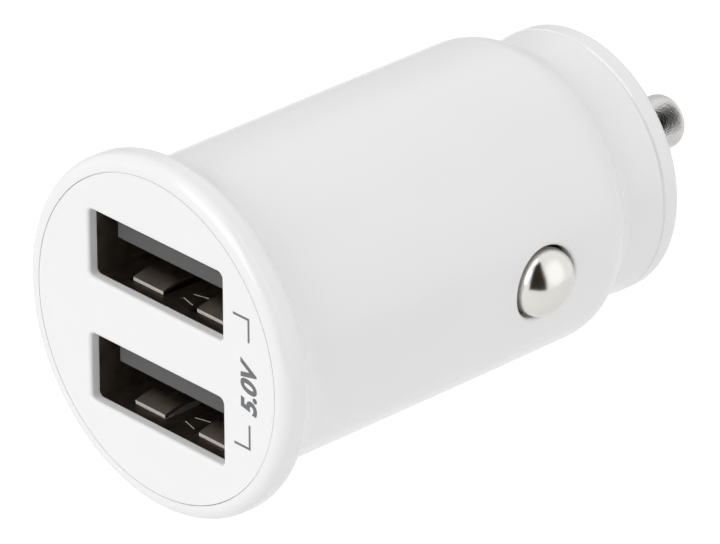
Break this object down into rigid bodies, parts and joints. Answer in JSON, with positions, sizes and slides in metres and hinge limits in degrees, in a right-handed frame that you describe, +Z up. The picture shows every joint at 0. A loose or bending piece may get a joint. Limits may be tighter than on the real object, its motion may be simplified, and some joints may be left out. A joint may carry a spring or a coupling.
{
  "type": "car usb charger plug",
  "caption": "White 12 V car charger plug with stacked USB sockets in a round flanged face, a straight barrel, a sprung tip pin and sprung side contacts.",
  "frame": {"origin": "centre of the front face, on the plug's axis", "axes": "+Y along the plug's axis from the front face towards the tip contact, +Z up across the stacked sockets, +X to the right seen from the front"},
  "size_m": [0.0244, 0.0461, 0.0244],
  "materials": {
    "gloss_white": "polished white moulding",
    "satin_white": "fine satin white moulding",
    "bright_nickel": "polished nickel plate on brass",
    "spring_wire": "drawn steel wire",
    "tinned_brass": "tinned brass sheet",
    "socket_steel": "nickel-plated folded sheet",
    "tongue_plastic": "dark grey glass-filled moulding",
    "contact_brass": "gold flash on spring brass",
    "board_laminate": "green solder mask on glass laminate",
    "ferrite": "sintered ferrite",
    "copper_wire": "enamelled copper wire",
    "component_black": "black moulding compound",
    "can_aluminium": "drawn aluminium can",
    "ceramic_tan": "fired ceramic"
  },
  "bodies": {
    "plug_body": {"housing": "gloss_white", "nose_cap": "gloss_white", "faceplate": "satin_white", "tip_spring": "spring_wire", "side_spring_right": "spring_wire", "side_spring_left": "spring_wire", "positive_plate": "tinned_brass", "ground_bracket_right": "tinned_brass", "ground_bracket_left": "tinned_brass", "upper_port_shell": "socket_steel", "lower_port_shell": "socket_steel", "upper_tongue": "tongue_plastic", "lower_tongue": "tongue_plastic", "port_board": "board_laminate", "power_board": "board_laminate", "choke_core": "ferrite", "choke_winding": "copper_wire", "input_capacitor_base": "component_black", "output_capacitor_base": "component_black", "input_capacitor_can": "can_aluminium", "output_capacitor_can": "can_aluminium", "converter_chip": "component_black", "rectifier_diode": "component_black", "charging_chip": "component_black", "ceramic_capacitor": "ceramic_tan", "sense_resistor": "component_black", "upper_contact_1": "contact_brass", "upper_contact_2": "contact_brass", "upper_contact_3": "contact_brass", "upper_contact_4": "contact_brass", "lower_contact_1": "contact_brass", "lower_contact_2": "contact_brass", "lower_contact_3": "contact_brass", "lower_contact_4": "contact_brass"},
    "tip": {"tip_contact": "bright_nickel"},
    "right_contact": {"side_contact_right": "bright_nickel"},
    "left_contact": {"side_contact_left": "bright_nickel"}
  },
  "joints": [
    {"name": "tip_press", "type": "slide", "parent": "plug_body", "child": "tip", "axis": [0, 1, 0], "range_m": [-0.003, 0], "stiffness_N_per_m": 1000, "deforming": ["tip_spring"]},
    {"name": "right_contact_press", "type": "slide", "parent": "plug_body", "child": "right_contact", "axis": [1, 0, 0], "range_m": [-0.0014, 0], "stiffness_N_per_m": 800, "deforming": ["side_spring_right"]},
    {"name": "left_contact_press", "type": "slide", "parent": "plug_body", "child": "left_contact", "axis": [-1, 0, 0], "range_m": [-0.0014, 0], "stiffness_N_per_m": 800, "deforming": ["side_spring_left"]}
  ]
}
